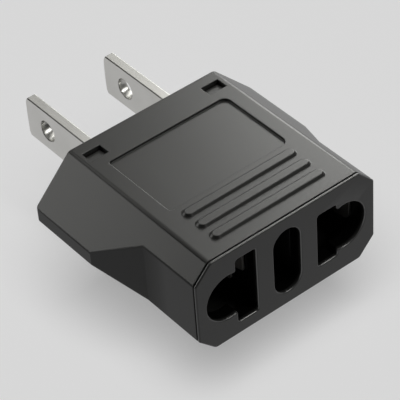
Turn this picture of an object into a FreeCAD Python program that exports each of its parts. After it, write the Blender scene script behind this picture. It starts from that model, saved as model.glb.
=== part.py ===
import FreeCAD, Part
import math
import os

# Plug adapter: flat blades at the back, pin sockets at the front.
# X runs across, +Y points to the blade tips, +Z is up. Sizes in millimetres.
# The origin lies under the middle of the overall length, on the flat underside.

# Housing, outside
body_length = 27.6
body_height = 13.8
top_width = 23.1
front_width = 27.9
rear_width = 34.6
side_band_height = 2.0
waist_start = 9.8
waist_end = 16.3
rear_corner_radius = 0.6
ridge_radius = 0.8
edge_radius = 0.4

# Housing, walls
wall = 1.2
rear_wall = 1.6

# Details moulded on the top face
recess_width = 18.55
recess_length = 12.1
recess_depth = 0.35
recess_setback = 5.25
recess_left_radius = 0.4
recess_right_radius = 1.1
grip_count = 3
grip_length = 17.45
grip_width = 1.7
grip_height = 0.4
grip_slope = 0.3
grip_pitch = 2.57
grip_start = 3.3

# Latch windows and the hooks in them
window_pitch = 18.8
window_width = 2.7
window_length = 1.8
window_setback = 1.9
hook_sink = 0.5
hook_ramp = 0.15
tongue_thickness = 0.9

# Socket plate
flange_thickness = 0.35
flange_radius = 0.2
seam_groove_width = 0.18
seam_groove_depth = 0.25
plate_thickness = 2.1
bead_radius = 0.3
bead_length = 14.0

# Openings in the socket plate
round_opening_pitch = 18.2
round_opening_diameter = 6.7
blade_opening_width = 3.1
left_opening_height = 10.0
right_opening_height = 8.2
opening_corner_radius = 0.4
opening_neck_radius = 0.3
earth_opening_width = 4.2
earth_opening_height = 9.9
lip_bevel = 0.14

# Plug blades
blade_pitch = 12.7
blade_width = 6.3
blade_thickness = 1.4
blade_length = 16.5
blade_lift = 0.2
blade_tip_radius = 6.0
blade_edge_bevel = 0.12
blade_tip_bevel = 0.3
blade_tip_bevel_length = 0.6
blade_hole_diameter = 3.0
blade_hole_bevel = 0.1
blade_hole_setback = 11.6
shoulder_width = 8.4

# Round pins that the sockets take
pin_pitch = 19.0
pin_diameter = 4.8
pin_length = 19.0

# Sprung contacts
strip_thickness = 0.4
strip_width = 5.0
strip_bend_radius = 0.6
leaf_reach = 15.6
fork_reach = 13.0
leaf_squeeze = 0.15
leaf_flare = 0.6
leaf_corner_radius = 1.0
leaf_nose_length = 2.0
leaf_nose_width = 2.6
blade_grip_place = 4.4
pin_grip_place = 9.0
grip_run = 2.5
fork_gap = 2.7
tab_length = 1.0
rivet_diameter = 1.3
rivet_head_diameter = 2.1
rivet_head_height = 0.45
rivet_bevel = 0.25
rivet_pitch = 2.3

# Insulating carrier
bulkhead_thickness = 1.4
partition_thickness = 0.8
earth_bay_margin = 0.2
cheek_thickness = 0.9

# Clearances
spigot_clearance = 0.08
bead_clearance = 0.05
slot_clearance = 0.05
carrier_clearance = 0.15
hook_clearance = 0.12
rivet_clearance = 0.04
hinge_clearance = 0.05
pin_end_clearance = 0.3
plate_clearance = 0.2

# Stations along the length, and levels
front_y = -(body_length + blade_length) / 2
seam_y = front_y + flange_thickness
plate_back_y = front_y + plate_thickness
rear_y = front_y + body_length
rear_wall_y = rear_y - rear_wall
web_front_y = front_y + pin_length + pin_end_clearance
web_back_y = web_front_y + strip_thickness
bulkhead_back_y = web_back_y + bulkhead_thickness
bulkhead_middle_y = (web_back_y + bulkhead_back_y) / 2
hinge_y = web_front_y - tab_length - strip_thickness / 2 - hinge_clearance
mid_z = body_height / 2
blade_z = mid_z + blade_lift
cavity_half_height = mid_z - wall

# How far a cutting shape runs past what it cuts, and how near two places count as one
overrun = 1.0
near = 1e-3


def vec(x, y, z):
    return FreeCAD.Vector(x, y, z)


def block(x_low, x_high, y_low, y_high, z_low, z_high):
    """A rectangular block between two corners."""
    size = (x_high - x_low, y_high - y_low, z_high - z_low)
    return Part.makeBox(*size, vec(x_low, y_low, z_low))


def rounded_edges(corners, radii, closed=True):
    """Lines and tangent arcs through the corners, each rounded to its radius."""
    last = len(corners) - 1
    arcs = []
    for index, corner in enumerate(corners):
        radius = radii[index]
        if radius <= 0 or (not closed and index in (0, last)):
            arcs.append((corner, None, corner))
            continue
        back = (corners[index - 1] - corner).normalize()
        onward = (corners[(index + 1) % len(corners)] - corner).normalize()
        half_angle = back.getAngle(onward) / 2
        reach = radius / math.tan(half_angle)
        inward = (back + onward).normalize()
        middle = corner + inward * (radius / math.sin(half_angle) - radius)
        arcs.append((corner + back * reach, middle, corner + onward * reach))
    edges = []
    for index, (start, middle, end) in enumerate(arcs):
        if index > 0 or closed:
            leave = arcs[index - 1][2]
            if leave.distanceToPoint(start) > near:
                edges.append(Part.LineSegment(leave, start).toShape())
        if middle is not None:
            edges.append(Part.Arc(start, middle, end).toShape())
    return edges


def rounded_face(corners, radii):
    return Part.Face(Part.Wire(rounded_edges(corners, radii)))


def rounded_rectangle(centre, half_u, half_v, radius, u=vec(1, 0, 0), v=vec(0, 1, 0)):
    """A face of the given half sizes along the directions u and v."""
    signs = ((-1, -1), (1, -1), (1, 1), (-1, 1))
    corners = [centre + u * (half_u * su) + v * (half_v * sv) for su, sv in signs]
    return rounded_face(corners, [radius] * 4)


def mirrored(shape):
    """The same piece for the other pole."""
    return shape.mirror(vec(0, 0, 0), vec(1, 0, 0))


def both_sides(shape):
    return [shape, mirrored(shape)]


def above_and_below(shape):
    return [shape, shape.mirror(vec(0, 0, mid_z), vec(0, 0, 1))]


def edges_where(shape, test):
    return [edge for edge in shape.Edges if test(edge.CenterOfMass, edge.BoundBox)]


# Housing form: a bevelled section run along Y, met by a waisted plan run along Z
def housing_form(inset, y_low, y_high, ridge=0.0, corner=0.0):
    """The housing between two stations, its top, bottom and sides drawn in by the inset."""
    half_top = top_width / 2
    half_rear = rear_width / 2
    half_front = front_width / 2
    half_band = side_band_height / 2
    right = [(half_top, 0), (half_rear, mid_z - half_band), (half_rear, mid_z + half_band)]
    right.append((half_top, body_height))
    section_points = right + [(-x, z) for x, z in reversed(right)]
    section_start = y_low - overrun
    section_corners = [vec(x, section_start, z) for x, z in section_points]
    radii = [ridge if z in (0, body_height) else 0 for x, z in section_points]
    section = rounded_face(section_corners, radii)
    right = [(half_front, y_low - inset), (half_front, front_y + waist_start)]
    right += [(half_rear, front_y + waist_end), (half_rear, y_high + inset)]
    if y_high <= front_y + waist_start:
        right = [(half_front, y_low - inset), (half_front, y_high + inset)]
    elif y_low >= front_y + waist_end:
        right = [(half_rear, y_low - inset), (half_rear, y_high + inset)]
    plan_points = right + [(-x, y) for x, y in reversed(right)]
    plan_radii = [0] * len(plan_points)
    plan_radii[len(right) - 1] = corner
    plan_radii[len(right)] = corner
    plan = rounded_face([vec(x, y, -overrun) for x, y in plan_points], plan_radii)
    if inset > 0:
        section = section.makeOffset2D(-inset, 2)
        plan = plan.makeOffset2D(-inset, 2)
    lengthwise = section.extrude(vec(0, y_high - y_low + 2 * overrun, 0))
    upright = plan.extrude(vec(0, 0, body_height + 2 * overrun))
    return lengthwise.common(upright).removeSplitter()


def whole_housing():
    """Outer form of plate and shell together, with its edges broken."""
    form = housing_form(0, front_y, rear_y, ridge_radius, rear_corner_radius)
    half_band = side_band_height / 2

    def is_rear(centre, box):
        return centre.y > rear_y - near

    def is_side(centre, box):
        outside_band = abs(centre.z - mid_z) >= half_band - near
        outside_front = abs(centre.x) > front_width / 2 - near
        return outside_band and outside_front and centre.y > seam_y and box.YMax < rear_y - near

    return form.makeFillet(edge_radius, edges_where(form, is_rear) + edges_where(form, is_side))


def slice_of(shape, y_low, y_high):
    across = rear_width
    return shape.common(block(-across, across, y_low, y_high, -overrun, body_height + overrun))


def lengthwise_bead(radius):
    """A half-round bar across the mouth, on the cavity's upper wall."""
    bar_y = (seam_y + plate_back_y) / 2
    start = vec(-bead_length / 2, bar_y, mid_z + cavity_half_height)
    return Part.makeCylinder(radius, bead_length, start, vec(1, 0, 0))


def grip_bars():
    """Raised bars with half-round ends and sloping walls, in a row on the top face."""
    bars = []
    foot_radius = grip_width / 2
    crown_radius = foot_radius - grip_slope
    mid_wall_z = body_height - wall / 2
    for number in range(grip_count):
        bar_y = front_y + grip_start + number * grip_pitch
        root = rounded_rectangle(vec(0, bar_y, mid_wall_z), grip_length / 2, foot_radius, foot_radius)
        bars.append(root.extrude(vec(0, 0, body_height - mid_wall_z)))
        foot = rounded_rectangle(vec(0, bar_y, body_height), grip_length / 2, foot_radius, foot_radius)
        crown = rounded_rectangle(vec(0, bar_y, body_height + grip_height), grip_length / 2 - grip_slope,
                                  crown_radius, crown_radius)
        bars.append(Part.makeLoft([foot.OuterWire, crown.OuterWire], True, True))
    return bars


def latch_window(clearance=0.0, z_low=0.0, z_high=0.0):
    """The window's block on the +X side, drawn in by a clearance."""
    half = window_width / 2 - clearance
    centre_x = window_pitch / 2
    y_high = rear_y - window_setback - clearance
    y_low = rear_y - window_setback - window_length + clearance
    return block(centre_x - half, centre_x + half, y_low, y_high, z_low, z_high)


def body_shell():
    """Housing open at the mouth: seam groove, cavity, blade slots, windows, grip bars and recess."""
    groove_end_y = seam_y + seam_groove_width
    shell = slice_of(whole_housing(), groove_end_y, rear_y + overrun)
    shell = shell.fuse(housing_form(seam_groove_depth, seam_y, groove_end_y + overrun))
    shell = shell.cut(housing_form(wall, seam_y - overrun, rear_wall_y))
    half_slot_x = blade_thickness / 2 + slot_clearance
    half_slot_z = blade_width / 2 + slot_clearance
    slot_x = blade_pitch / 2
    slot = block(slot_x - half_slot_x, slot_x + half_slot_x, rear_wall_y - overrun, rear_y + overrun,
                 blade_z - half_slot_z, blade_z + half_slot_z)
    cuts = both_sides(slot)
    window = latch_window(0, body_height - wall - overrun, body_height + overrun)
    for side in both_sides(window):
        cuts += above_and_below(side)
    high_y = rear_y - recess_setback
    low_y = high_y - recess_length
    floor_z = body_height - recess_depth
    half = recess_width / 2
    recess = rounded_face([vec(-half, low_y, floor_z), vec(half, low_y, floor_z),
                           vec(half, high_y, floor_z), vec(-half, high_y, floor_z)],
                          [recess_left_radius, recess_right_radius, recess_right_radius, recess_left_radius])
    cuts.append(recess.extrude(vec(0, 0, recess_depth + overrun)))
    cuts += above_and_below(lengthwise_bead(bead_radius + bead_clearance))
    return shell.fuse(grip_bars()).cut(cuts).removeSplitter()


# Socket plate: a flange over the mouth, a spigot inside it and three openings
def pin_opening(height):
    """A blade window joined to a round pin hole, for the +X side."""
    depth = vec(0, plate_thickness + 2 * overrun, 0)
    start_y = front_y - overrun
    window = rounded_rectangle(vec(blade_pitch / 2, start_y, mid_z), blade_opening_width / 2, height / 2,
                               opening_corner_radius, vec(1, 0, 0), vec(0, 0, 1))
    middle = vec(round_opening_pitch / 2, start_y, mid_z)
    ring = Part.makeCircle(round_opening_diameter / 2, middle, vec(0, 1, 0))
    hole = Part.Face(Part.Wire(ring)).extrude(depth)
    opening = window.extrude(depth).fuse(hole).removeSplitter()
    side_x = blade_pitch / 2 + blade_opening_width / 2

    def is_neck(centre, box):
        reach = math.hypot(centre.x - middle.x, centre.z - mid_z)
        return abs(centre.x - side_x) < near and abs(reach - round_opening_diameter / 2) < near

    return opening.makeFillet(opening_neck_radius, edges_where(opening, is_neck))


def earth_opening():
    """An upright slot with half-round ends, on the centre line."""
    radius = earth_opening_width / 2
    face = rounded_rectangle(vec(0, front_y - overrun, mid_z), radius, earth_opening_height / 2, radius,
                             vec(1, 0, 0), vec(0, 0, 1))
    return face.extrude(vec(0, plate_thickness + 2 * overrun, 0))


def socket_plate():
    """Front plate with a rounded rim and bevelled lips round its openings."""
    flange = slice_of(whole_housing(), front_y - overrun, seam_y)
    rim = edges_where(flange, lambda centre, box: box.YMax < front_y + near)
    flange = flange.makeFillet(flange_radius, rim)
    spigot = housing_form(wall + spigot_clearance, seam_y, plate_back_y)
    plate = flange.fuse(spigot)
    plate = plate.fuse(above_and_below(lengthwise_bead(bead_radius)))
    openings = [pin_opening(right_opening_height), mirrored(pin_opening(left_opening_height)), earth_opening()]
    plate = plate.cut(openings).removeSplitter()
    reach_x = round_opening_pitch / 2 + round_opening_diameter / 2 + near

    def is_lip(centre, box):
        return box.YMax < front_y + near and max(-box.XMin, box.XMax) < reach_x

    return plate.makeChamfer(lip_bevel, edges_where(plate, is_lip))


# Plug blade: a flat strip with a curved tip, bevelled edges, a hole and a shouldered tang
def blade():
    """One blade on the +X side, its tang inside the housing."""
    low_x = blade_pitch / 2 - blade_thickness / 2
    half = blade_width / 2
    tip_y = rear_y + blade_length
    corner_y = tip_y - blade_tip_radius + math.sqrt(blade_tip_radius ** 2 - half ** 2)
    corner_low = vec(low_x, corner_y, blade_z - half)
    corner_high = vec(low_x, corner_y, blade_z + half)
    root_low = vec(low_x, rear_wall_y, blade_z - half)
    root_high = vec(low_x, rear_wall_y, blade_z + half)
    edges = [Part.LineSegment(root_low, corner_low).toShape(),
             Part.Arc(corner_low, vec(low_x, tip_y, blade_z), corner_high).toShape(),
             Part.LineSegment(corner_high, root_high).toShape(),
             Part.LineSegment(root_high, root_low).toShape()]
    strip = Part.Face(Part.Wire(edges)).extrude(vec(blade_thickness, 0, 0))

    def is_long(centre, box):
        return abs(abs(centre.z - blade_z) - half) < near and box.YLength > near

    strip = strip.makeChamfer(blade_edge_bevel, edges_where(strip, is_long))
    strip = strip.cut(tip_bevels(tip_y))
    shoulder_half = shoulder_width / 2
    tang = block(low_x, low_x + blade_thickness, bulkhead_back_y, rear_wall_y,
                 blade_z - shoulder_half, blade_z + shoulder_half)
    piece = strip.fuse(tang)
    hole_y = rear_y + blade_hole_setback
    radius = blade_hole_diameter / 2
    piece = piece.cut([along_x(radius, hole_y)] + hole_bevels(radius, hole_y))
    rivet_holes = [along_x(rivet_diameter / 2 + rivet_clearance, y) for y in rivet_places()]
    return piece.cut(rivet_holes).removeSplitter()


def tip_bevels(tip_y):
    """Two wedges that thin the blade towards its tip, one on each flat."""
    outer_x = blade_pitch / 2 + blade_thickness / 2
    base_z = blade_z - blade_width
    corners = [vec(outer_x + overrun, tip_y - blade_tip_bevel_length, base_z),
               vec(outer_x, tip_y - blade_tip_bevel_length, base_z),
               vec(outer_x - blade_tip_bevel, tip_y, base_z),
               vec(outer_x - blade_tip_bevel, tip_y + overrun, base_z),
               vec(outer_x + overrun, tip_y + overrun, base_z)]
    wedge = rounded_face(corners, [0] * len(corners)).extrude(vec(0, 0, 2 * blade_width))
    return [wedge, wedge.mirror(vec(blade_pitch / 2, 0, 0), vec(1, 0, 0))]


def along_x(radius, y):
    """A bar along X through the +X blade."""
    start = vec(blade_pitch / 2 - blade_width, y, blade_z)
    return Part.makeCylinder(radius, 2 * blade_width, start, vec(1, 0, 0))


def hole_bevels(radius, y):
    """Cones that break the hole's two rims."""
    cones = []
    for side in (-1, 1):
        rim_x = blade_pitch / 2 + side * blade_thickness / 2
        cones.append(Part.makeCone(radius + blade_hole_bevel, radius, blade_hole_bevel,
                                   vec(rim_x, y, blade_z), vec(-side, 0, 0)))
    return cones


def rivet_places():
    middle = (bulkhead_back_y + rear_wall_y) / 2
    return [middle - rivet_pitch / 2, middle + rivet_pitch / 2]


def rivet(y):
    """A shank through blade and contact strip, with a bevelled head at each end."""
    low_x = blade_pitch / 2 - blade_thickness / 2
    high_x = blade_pitch / 2 + blade_thickness / 2 + strip_thickness
    shank = Part.makeCylinder(rivet_diameter / 2, high_x - low_x, vec(low_x, y, blade_z), vec(1, 0, 0))
    head_radius = rivet_head_diameter / 2
    heads = []
    for face_x, side in ((low_x, -1), (high_x, 1)):
        head = Part.makeCylinder(head_radius, rivet_head_height, vec(face_x, y, blade_z), vec(side, 0, 0))
        crown_x = face_x + side * rivet_head_height
        crown = edges_where(head, lambda centre, box: abs(centre.x - crown_x) < near)
        heads.append(head.makeChamfer(rivet_bevel, crown))
    return shank.fuse(heads).removeSplitter()


# Sprung contacts: a riveted base of bent strip, and three leaves reaching to the mouth
def leaf_roots():
    """Where the inner, forked and outer leaf leave the base, on the +X side."""
    half = strip_thickness / 2
    blade_inner = blade_pitch / 2 - blade_thickness / 2
    blade_outer = blade_pitch / 2 + blade_thickness / 2
    pin_outer = pin_pitch / 2 + pin_diameter / 2
    return {"inner": blade_inner - half, "forked": blade_outer + half, "outer": pin_outer + half}


def bent_strip(corners, bend_radius):
    """Flat strip of the contact metal, bent along a path in plan."""
    path = Part.Wire(rounded_edges(corners, [bend_radius] * len(corners), closed=False))
    start = corners[0]
    onward = (corners[1] - corners[0]).normalize()
    across = vec(-onward.y, onward.x, 0) * (strip_thickness / 2)
    rise = vec(0, 0, strip_width / 2)
    profile = Part.makePolygon([start + across - rise, start - across - rise, start - across + rise,
                                start + across + rise, start + across - rise])
    return path.makePipeShell([profile], True, False)


def contact_base():
    """Web behind the pins' ends, short tabs forward and one tab back to the blade."""
    roots = leaf_roots()
    tab_y = web_front_y - tab_length
    web_y = web_front_y + strip_thickness / 2
    path = [vec(roots["inner"], tab_y, mid_z), vec(roots["inner"], web_y, mid_z),
            vec(roots["outer"], web_y, mid_z), vec(roots["outer"], tab_y, mid_z)]
    base = bent_strip(path, strip_bend_radius)
    half = strip_thickness / 2
    straight = block(roots["forked"] - half, roots["forked"] + half, tab_y, rear_wall_y - plate_clearance,
                     mid_z - strip_width / 2, mid_z + strip_width / 2)
    holes = [along_x(rivet_diameter / 2 + rivet_clearance, y) for y in rivet_places()]
    return base.fuse(straight).cut(holes).removeSplitter()


def leaf_path(name):
    """Plan route of a leaf, from its root at the base to its free end at the mouth."""
    root_x = leaf_roots()[name]
    tip_y = hinge_y - leaf_reach
    blade_y = tip_y + blade_grip_place
    pin_y = tip_y + pin_grip_place
    if name == "forked":
        offsets = [(0, pin_y + grip_run), (leaf_squeeze, pin_y), (-leaf_squeeze, blade_y)]
        offsets.append((0, hinge_y - fork_reach))
    elif name == "inner":
        offsets = [(0, blade_y + 2 * grip_run), (leaf_squeeze, blade_y + grip_run / 2),
                   (leaf_squeeze, blade_y - grip_run / 2), (-leaf_flare, tip_y)]
    else:
        offsets = [(0, blade_y + 2 * grip_run), (-leaf_squeeze, blade_y + grip_run / 2),
                   (-leaf_squeeze, blade_y - grip_run / 2), (0, tip_y)]
    return [vec(root_x, hinge_y, mid_z)] + [vec(root_x + x, y, mid_z) for x, y in offsets]


def side_view(centre_y, half_y, half_z, radius, centre_z=mid_z):
    """A rounded block that trims a leaf as it is seen from the side."""
    reach_x = leaf_roots()["outer"]
    face = rounded_rectangle(vec(0, centre_y, centre_z), half_y, half_z, radius, vec(0, 1, 0), vec(0, 0, 1))
    return face.extrude(vec(2 * reach_x, 0, 0))


def leaf(name):
    """A leaf with a half-round root and rounded corners at its end.

    The forked leaf has a gap between two prongs. The inner leaf ends in a nose along its upper edge.
    """
    root_x = leaf_roots()[name]
    strip = bent_strip(leaf_path(name), strip_bend_radius)
    root = vec(root_x, hinge_y, mid_z - strip_width / 2)
    strip = strip.fuse(Part.makeCylinder(strip_thickness / 2, strip_width, root))
    reach = fork_reach if name == "forked" else leaf_reach
    tip_y = hinge_y - reach
    strip = strip.common(side_view(hinge_y, reach, strip_width / 2, leaf_corner_radius))
    if name == "forked":
        gap_end_y = hinge_y - fork_gap
        gap_start_y = tip_y - fork_gap
        gap_half = (gap_end_y - gap_start_y) / 2
        strip = strip.cut(side_view(gap_start_y + gap_half, gap_half, fork_gap / 2, fork_gap / 2))
    if name == "inner":
        below_z = mid_z - leaf_nose_width
        strip = strip.cut(side_view(tip_y, leaf_nose_length, strip_width / 2, strip_thickness, below_z))
    return strip.removeSplitter()


# Insulating carrier: bulkhead, partitions either side of the earth bay, cheeks and latch tongues
def latch_tongue():
    """A tongue behind the bulkhead, on the +X side, with its hook in the upper window."""
    half = window_width / 2 - hook_clearance
    centre_x = window_pitch / 2
    high_z = mid_z + cavity_half_height - carrier_clearance
    low_z = high_z - tongue_thickness
    end_y = rear_wall_y - hook_clearance
    tongue = block(centre_x - half, centre_x + half, bulkhead_middle_y, end_y, low_z, high_z)
    hook_z = body_height - hook_sink
    hook = latch_window(hook_clearance, low_z, hook_z)
    catch_y = hook.BoundBox.YMin
    back_y = hook.BoundBox.YMax
    corners = [vec(0, catch_y, hook_z), vec(0, back_y, hook_z), vec(0, back_y, hook_z - hook_ramp)]
    ramp = rounded_face(corners, [0] * len(corners)).extrude(vec(window_pitch, 0, 0))
    return tongue.fuse(hook.cut(ramp))


def contact_carrier():
    """One moulding that holds both poles apart and traps the blades against the rear wall."""
    bulkhead = housing_form(wall + carrier_clearance, web_back_y, bulkhead_back_y)
    high = cavity_half_height - carrier_clearance
    bay_half = earth_opening_width / 2 + earth_bay_margin
    partition = block(bay_half, bay_half + partition_thickness, plate_back_y + plate_clearance, rear_wall_y,
                      mid_z - high, mid_z + high)
    cheek_x = blade_pitch / 2 + blade_thickness / 2 + strip_thickness + rivet_head_height + plate_clearance
    cheek_half = high - tongue_thickness - cheek_thickness
    cheek = block(cheek_x, cheek_x + cheek_thickness, bulkhead_middle_y, rear_wall_y,
                  mid_z - cheek_half, mid_z + cheek_half)
    parts = both_sides(partition) + both_sides(cheek)
    for side in both_sides(latch_tongue()):
        parts += above_and_below(side)
    blade_outer = blade_pitch / 2 + blade_thickness / 2
    half_z = strip_width / 2 + slot_clearance
    slot = block(blade_outer - slot_clearance, blade_outer + strip_thickness + slot_clearance,
                 web_back_y - overrun, bulkhead_back_y + overrun, mid_z - half_z, mid_z + half_z)
    return bulkhead.fuse(parts).cut(both_sides(slot)).removeSplitter()


def pole(side, place):
    """The metal of one pole: place puts the +X pieces on their own side."""
    pieces = {side + "_blade": place(blade()), side + "_contact_base": place(contact_base())}
    for name in leaf_roots():
        pieces[side + "_" + name + "_leaf"] = place(leaf(name))
    for name, y in zip(("front", "rear"), rivet_places()):
        pieces[side + "_" + name + "_rivet"] = place(rivet(y))
    return pieces


def main():
    os.makedirs("parts", exist_ok=True)
    pieces = {"body_shell": body_shell(), "socket_plate": socket_plate(), "contact_carrier": contact_carrier()}
    pieces.update(pole("right", lambda shape: shape))
    pieces.update(pole("left", mirrored))
    for name, shape in pieces.items():
        solids = shape.Solids
        print(name, "solids", len(solids), "valid", shape.isValid(), "volume", round(shape.Volume, 2))
        shape = solids[0] if len(solids) == 1 else shape
        shape.exportStep("parts/" + name + ".step")


main()
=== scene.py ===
import math

import bpy
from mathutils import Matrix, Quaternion, Vector

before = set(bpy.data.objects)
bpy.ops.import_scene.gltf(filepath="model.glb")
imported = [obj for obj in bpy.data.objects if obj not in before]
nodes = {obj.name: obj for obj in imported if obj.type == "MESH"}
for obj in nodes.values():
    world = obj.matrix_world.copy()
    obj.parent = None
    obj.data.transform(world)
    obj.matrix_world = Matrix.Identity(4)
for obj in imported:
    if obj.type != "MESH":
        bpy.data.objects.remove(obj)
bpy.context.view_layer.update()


# Body shell: the black housing, moulded in one with its grip bars, recess and latch windows.
# The plastic is a dense grey-black with a very fine spark-eroded grain and softly rounded edges.
black = (0.015, 0.015, 0.0145)
grey_black = (0.018, 0.018, 0.0175)
plastic_roughness = 0.32
plastic_sheen = 0.2
plastic_cloud = 0.009
cloud_stretch = (1, 2, 1)
moulding_grain = 0.00018
grain_depth = 0.00002
grain_strength = 0.015
grain_roughness = 0.012
moulding_rounding = 0.00009
fine_rounding = 0.00006


def surface(name, colour, roughness, metallic=0.0):
    """A material with one main shader, and the piece's own coordinates to pattern it by."""
    material = bpy.data.materials.new(name)
    material.use_nodes = True
    shader = material.node_tree.nodes["Principled BSDF"]
    shader.inputs["Base Color"].default_value = (*colour, 1)
    shader.inputs["Roughness"].default_value = roughness
    shader.inputs["Metallic"].default_value = metallic
    place = material.node_tree.nodes.new("ShaderNodeTexCoord")
    return material, shader, place.outputs["Object"]


def feed(tree, slot, value):
    """Gives an input of a node a number, or what comes out of another node."""
    if isinstance(value, bpy.types.NodeSocket):
        tree.links.new(value, slot)
    else:
        slot.default_value = value


def calculate(tree, operation, *values, kind="ShaderNodeMath"):
    """The result of one sum with numbers, or with vectors where kind is ShaderNodeVectorMath."""
    node = tree.nodes.new(kind)
    node.operation = operation
    for slot, value in zip(node.inputs, values):
        feed(tree, slot, value)
    return node.outputs[0]


def axes(tree, vector):
    """The X, Y and Z of a vector."""
    node = tree.nodes.new("ShaderNodeSeparateXYZ")
    tree.links.new(vector, node.inputs["Vector"])
    return node.outputs


def noise(tree, place, size, stretch=(1, 1, 1)):
    """Noise in patches about as large as size, in metres, and longer along a stretched axis."""
    mapping = tree.nodes.new("ShaderNodeMapping")
    mapping.inputs["Scale"].default_value = [1 / (size * factor) for factor in stretch]
    texture = tree.nodes.new("ShaderNodeTexNoise")
    texture.inputs["Scale"].default_value = 1.0
    texture.inputs["Detail"].default_value = 3.0
    tree.links.new(place, mapping.inputs["Vector"])
    tree.links.new(mapping.outputs["Vector"], texture.inputs["Vector"])
    return texture.outputs["Fac"]


def spread(tree, value, low, high, start=0.3, end=0.7):
    """Goes from low to high while the value goes from start to end, and stays there beyond.
    Unless given, start and end are the middle range of a noise."""
    node = tree.nodes.new("ShaderNodeMapRange")
    node.inputs["From Min"].default_value = start
    node.inputs["From Max"].default_value = end
    feed(tree, node.inputs["To Min"], low)
    feed(tree, node.inputs["To Max"], high)
    tree.links.new(value, node.inputs["Value"])
    return node.outputs["Result"]


def tint(tree, value, first, second):
    """A colour between two, by the value."""
    node = tree.nodes.new("ShaderNodeMix")
    node.data_type = "RGBA"
    node.inputs["A"].default_value = (*first, 1)
    node.inputs["B"].default_value = (*second, 1)
    tree.links.new(value, node.inputs["Factor"])
    return node.outputs["Result"]


def relief(tree, shader, height, depth, strength):
    """Raises and sinks the surface by the height, up to a depth in metres."""
    node = tree.nodes.new("ShaderNodeBump")
    node.inputs["Distance"].default_value = depth
    node.inputs["Strength"].default_value = strength
    tree.links.new(height, node.inputs["Height"])
    tree.links.new(node.outputs["Normal"], shader.inputs["Normal"])


def moulded_plastic(name, grain_size, sheen):
    """Black plastic, faintly clouded, with a fine grain in its relief and in its roughness."""
    material, shader, place = surface(name, black, plastic_roughness)
    tree = material.node_tree
    clouds = noise(tree, place, plastic_cloud, cloud_stretch)
    colour = tint(tree, spread(tree, clouds, 0, 1), black, grey_black)
    grain = noise(tree, place, grain_size)
    smoothest, roughest = plastic_roughness - grain_roughness, plastic_roughness + grain_roughness
    tree.links.new(colour, shader.inputs["Base Color"])
    tree.links.new(spread(tree, grain, smoothest, roughest), shader.inputs["Roughness"])
    relief(tree, shader, grain, grain_depth, grain_strength)
    shader.inputs["Specular IOR Level"].default_value = sheen
    return material


def finish_nodes(material, names, rounding=0.0):
    """Gives the material to pieces that keep their shape, and rounds their edges a little."""
    for name in names:
        nodes[name].data.materials.clear()
        nodes[name].data.materials.append(material)
        if rounding:
            joined = nodes[name].modifiers.new("joined", "WELD")
            joined.merge_threshold = 0.000002
            plain = nodes[name].modifiers.new("plain_faces", "DECIMATE")
            plain.decimate_type = "DISSOLVE"
            plain.angle_limit = math.radians(0.5)
            rounded = nodes[name].modifiers.new("rounded_edges", "BEVEL")
            rounded.width = rounding
            rounded.segments = 3
            rounded.limit_method = "ANGLE"
            rounded.angle_limit = math.radians(30)
            rounded.harden_normals = True
            rounded.use_clamp_overlap = False


housing_plastic = moulded_plastic("housing_plastic", moulding_grain, plastic_sheen)
finish_nodes(housing_plastic, ["body_shell"], moulding_rounding)

# The side walls are shaded as if they faced a little to the front, most of all at the bend where
# the waist begins, so that they run into it softly.
bend_y = -0.01225
bend_reach = 0.004
wall_lean = -0.12
bend_lean = -0.4
side_wall_facing = (0.94, 0.98)
tree = housing_plastic.node_tree
place_y = axes(tree, tree.nodes["Texture Coordinate"].outputs["Object"])["Y"]
normal = tree.nodes.new("ShaderNodeNewGeometry").outputs["Normal"]
sideways = calculate(tree, "ABSOLUTE", axes(tree, normal)["X"])
on_side_wall = spread(tree, sideways, 0, 1, *side_wall_facing)
from_bend = calculate(tree, "ABSOLUTE", calculate(tree, "SUBTRACT", place_y, bend_y))
lean_here = spread(tree, from_bend, bend_lean, wall_lean, 0, bend_reach)
lean = calculate(tree, "MULTIPLY", on_side_wall, lean_here)
lean_along_y = calculate(tree, "MULTIPLY", (0, 1, 0), lean, kind="ShaderNodeVectorMath")
leaning = calculate(tree, "ADD", normal, lean_along_y, kind="ShaderNodeVectorMath")
leaning = calculate(tree, "NORMALIZE", leaning, kind="ShaderNodeVectorMath")
tree.links.new(leaning, tree.nodes["Bump"].inputs["Normal"])


# Socket plate: the front plate, a moulding of its own with a little more sheen, most of all on the
# lips of its openings. Their walls have painted shade behind the face, a darker colour and a duller
# sheen, so that they read as deep holes.
face_middle = (0, -0.02205, 0.0069)
face_sheen = 0.29
rim_sheen = 0.42
lip_sheen = 1.1
wall_sheen = 0.02
painted_wall_shade = 0.15
rim_across = (0.0125, 0.0128)
rim_upright = (0.0051, 0.0055)
lip_depth = (0.00002, 0.00006)
wall_depth = (0.0003, 0.0006)
plate_plastic = moulded_plastic("plate_plastic", moulding_grain, face_sheen)
tree = plate_plastic.node_tree
shader = tree.nodes["Principled BSDF"]
place = tree.nodes["Texture Coordinate"].outputs["Object"]

# how far each spot lies from the middle of the face: across it, behind it and up or down
offset = calculate(tree, "SUBTRACT", place, face_middle, kind="ShaderNodeVectorMath")
distance = calculate(tree, "ABSOLUTE", offset, kind="ShaderNodeVectorMath")
across, behind, upright = axes(tree, distance)

beside = spread(tree, across, 0, 1, *rim_across)
above_or_below = spread(tree, upright, 0, 1, *rim_upright)
on_rim = calculate(tree, "MAXIMUM", beside, above_or_below)
edge_sheen = spread(tree, on_rim, lip_sheen, rim_sheen, 0, 1)
front_sheen = spread(tree, behind, face_sheen, edge_sheen, *lip_depth)
sheen = spread(tree, behind, front_sheen, wall_sheen, *wall_depth)
tree.links.new(sheen, shader.inputs["Specular IOR Level"])

# painted shade: the colour darkens on the walls of the openings behind the face
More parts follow.
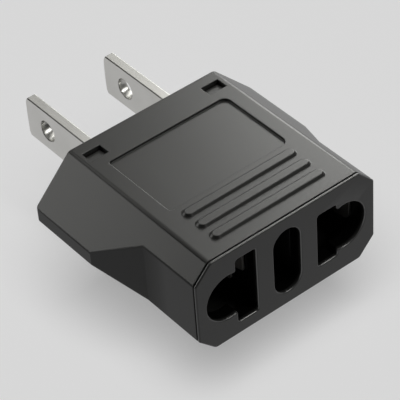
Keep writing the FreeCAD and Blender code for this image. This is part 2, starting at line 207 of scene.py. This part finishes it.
painted_shade = spread(tree, behind, 1.0, painted_wall_shade, *wall_depth)
colour = shader.inputs["Base Color"].links[0].from_socket
painted_shade_colour = calculate(tree, "MULTIPLY", colour, painted_shade, kind="ShaderNodeVectorMath")
tree.links.new(painted_shade_colour, shader.inputs["Base Color"])
finish_nodes(plate_plastic, ["socket_plate"], moulding_rounding)


# Contact carrier: a glossier black moulding behind the plate. Its hooks show in the latch windows
# and its walls, dimly, through the openings.
carrier_plastic = moulded_plastic("carrier_plastic", 0.0003, 0.5)
finish_nodes(carrier_plastic, ["contact_carrier"], fine_rounding)


# Plug blades: stamped brass with a warm nickel plate, faintly clouded and streaked along its length
# by rolling.
metal_cloud = 0.004
streak_width = 0.00012
streak_stretch = (1, 40, 1)
streak_roughness = 0.02


def plated_metal(name, dull, bright, roughness):
    """Metal whose colour is faintly clouded and whose roughness runs in streaks along the part."""
    material, shader, place = surface(name, dull, roughness, 1.0)
    tree = material.node_tree
    clouds = noise(tree, place, metal_cloud)
    streaks = noise(tree, place, streak_width, streak_stretch)
    colour = tint(tree, spread(tree, clouds, 0, 1), dull, bright)
    tree.links.new(colour, shader.inputs["Base Color"])
    smoothest, roughest = roughness - streak_roughness, roughness + streak_roughness
    tree.links.new(spread(tree, streaks, smoothest, roughest), shader.inputs["Roughness"])
    return material


nickel_plate = plated_metal("nickel_plate", (0.53, 0.525, 0.505), (0.57, 0.565, 0.545), 0.3)
finish_nodes(nickel_plate, ["left_blade", "right_blade"], fine_rounding)


# Contacts: sprung strip, duller than the blades, and the rivets that hold it to them.
# They show only through the openings, so their edges stay as they are.
contact_strip = plated_metal("contact_strip", (0.42, 0.41, 0.385), (0.47, 0.46, 0.435), 0.36)
rivet_metal = plated_metal("rivet_metal", (0.45, 0.44, 0.415), (0.5, 0.49, 0.465), 0.34)
for side in ("left", "right"):
    strips = ["contact_base", "inner_leaf", "forked_leaf", "outer_leaf"]
    finish_nodes(contact_strip, [side + "_" + strip for strip in strips])
    finish_nodes(rivet_metal, [side + "_front_rivet", side + "_rear_rivet"])


# Floor: a plain pale sheet below the adapter, which hangs over it as in the photograph.
# Part of its brightness is its own, so that the adapter's shadow on it stays a light grey.
floor_level = -0.009
floor_reach = 3.0
bpy.ops.mesh.primitive_plane_add(size=2 * floor_reach, location=(0, 0, floor_level))
floor = bpy.context.object
floor.name = "floor"
floor_paint, floor_shader, _ = surface("floor_paint", (0.6, 0.6, 0.6), 0.9)
floor_shader.inputs["Specular IOR Level"].default_value = 0.0
floor_shader.inputs["Emission Color"].default_value = (0.34, 0.34, 0.34, 1)


def backdrop_seen(tree):
    """1 for what the camera sees, also when mirrored or refracted, and 0 for what only lights."""
    rays = tree.nodes.new("ShaderNodeLightPath").outputs
    seen = calculate(tree, "MAXIMUM", rays["Is Camera Ray"], rays["Is Glossy Ray"])
    return calculate(tree, "MAXIMUM", seen, rays["Is Transmission Ray"])


tree = floor_paint.node_tree
tree.links.new(backdrop_seen(tree), floor_shader.inputs["Emission Strength"])

# seen from below, the floor lets the view through
backfacing = tree.nodes.new("ShaderNodeNewGeometry").outputs["Backfacing"]
clear = tree.nodes.new("ShaderNodeBsdfTransparent")
sides = tree.nodes.new("ShaderNodeMixShader")
tree.links.new(backfacing, sides.inputs["Fac"])
tree.links.new(floor_shader.outputs["BSDF"], sides.inputs[1])
tree.links.new(clear.outputs["BSDF"], sides.inputs[2])
tree.links.new(sides.outputs["Shader"], tree.nodes["Material Output"].inputs["Surface"])
floor.data.materials.append(floor_paint)


# Light: softboxes round the adapter for the plastic, two soft ones for the blades and a wide sun
# for the floor. Each is kept off some of the pieces, so that the metal doesn't burn out and the
# floor keeps one shadow.
adapter_middle = Vector((0, 0, 0.007))
lamp_distance = 0.5
warm_white = (1.0, 1.0, 0.97)


def flag(name, pieces, state="EXCLUDE"):
    """A list of pieces that lamps leave out, or with INCLUDE the only ones that they light."""
    group = bpy.data.collections.new(name)
    for piece in pieces:
        group.objects.link(piece)
    for member in group.collection_objects:
        member.light_linking.link_state = state
    return group


def place_lamp(lamp, azimuth, elevation, receivers):
    """Puts a lamp to one side of the adapter and faces it to its middle.
    Azimuth 0 is behind the adapter, on +Y, and 90 is on its right, on +X."""
    turn, rise = math.radians(azimuth), math.radians(elevation)
    ahead = math.cos(rise)
    towards = Vector((math.sin(turn) * ahead, math.cos(turn) * ahead, math.sin(rise)))
    holder = bpy.data.objects.new(lamp.name, lamp)
    holder.location = adapter_middle + towards * lamp_distance
    holder.rotation_euler = towards.to_track_quat("Z", "Y").to_euler()
    holder.light_linking.receiver_collection = receivers
    bpy.context.scene.collection.objects.link(holder)


def softbox(name, azimuth, elevation, width, height, radiance, receivers):
    """A slightly warm lamp, as wide and as high as two angles in degrees."""
    lamp = bpy.data.lights.new(name, "AREA")
    lamp.shape = "RECTANGLE"
    lamp.size = 2 * lamp_distance * math.tan(math.radians(width / 2))
    lamp.size_y = 2 * lamp_distance * math.tan(math.radians(height / 2))
    lamp.energy = radiance * math.pi * lamp.size * lamp.size_y
    lamp.color = warm_white
    place_lamp(lamp, azimuth, elevation, receivers)


blades = [nodes["left_blade"], nodes["right_blade"]]
not_floor = flag("not_floor", [floor])
only_plastic = flag("only_plastic", [floor] + blades)
only_blades = flag("only_blades", blades, "INCLUDE")
only_floor = flag("only_floor", [floor], "INCLUDE")
softbox("main_softbox", 55, 33, 24, 17, 22.0, only_plastic)
softbox("low_right_softbox", 60, 13, 25, 24, 4.2, not_floor)
softbox("low_left_softbox", -40, 19, 26, 24, 6.0, only_plastic)
softbox("rear_softbox", -12, 52, 30, 14, 3.0, only_plastic)
softbox("rim_softbox", 74, 62, 24, 16, 12.0, only_plastic)
softbox("front_softbox", 147, 41, 26, 12, 10.0, not_floor)
softbox("overhead_softbox", 0, 86, 30, 30, 1.5, not_floor)
softbox("blade_softbox", 42, 42, 76, 46, 0.4, only_blades)
softbox("blade_right_softbox", 64, 40, 42, 36, 1.9, only_blades)

floor_sun = bpy.data.lights.new("floor_sun", "SUN")
floor_sun.angle = math.radians(48)
floor_sun.energy = 1.84
place_lamp(floor_sun, 215, 68, only_floor)


# Sky: a dim room that turns as pale as the floor towards the horizon, so that a low view has the
# same plain background.
room_strength = 0.04
horizon_height = (0.1, 0.26)
world = bpy.data.worlds.new("sky")
world.use_nodes = True
tree = world.node_tree
background = tree.nodes["Background"]
background.inputs["Color"].default_value = (0.67, 0.67, 0.67, 1)
height = axes(tree, tree.nodes.new("ShaderNodeTexCoord").outputs["Generated"])["Z"]
horizon = spread(tree, height, 1.0, room_strength, *horizon_height)
strength = spread(tree, backdrop_seen(tree), room_strength, horizon, 0, 1)
tree.links.new(strength, background.inputs["Strength"])
bpy.context.scene.world = world
bpy.context.scene.view_settings.view_transform = "Standard"


# Camera: the photograph's view, a long lens from the left, the front and above, rolled a little.
# Where it stands and where it looks come from fitting the adapter's corners to the photograph.
eye = Vector((-0.114525, -0.160983, 0.177345))
aim = Vector((-0.001091, -0.006779, 0.00728))
roll = math.radians(-4.355)
camera = bpy.data.cameras.new("camera")
camera.lens = 186.72
camera.sensor_width = 36
camera.clip_start = 0.01
camera.clip_end = 20
camera_holder = bpy.data.objects.new("camera", camera)
camera_holder.location = eye
camera_holder.rotation_mode = "QUATERNION"
level = (aim - eye).to_track_quat("-Z", "Y")
camera_holder.rotation_quaternion = level @ Quaternion((0, 0, 1), roll)
bpy.context.scene.collection.objects.link(camera_holder)
bpy.context.scene.camera = camera_holder
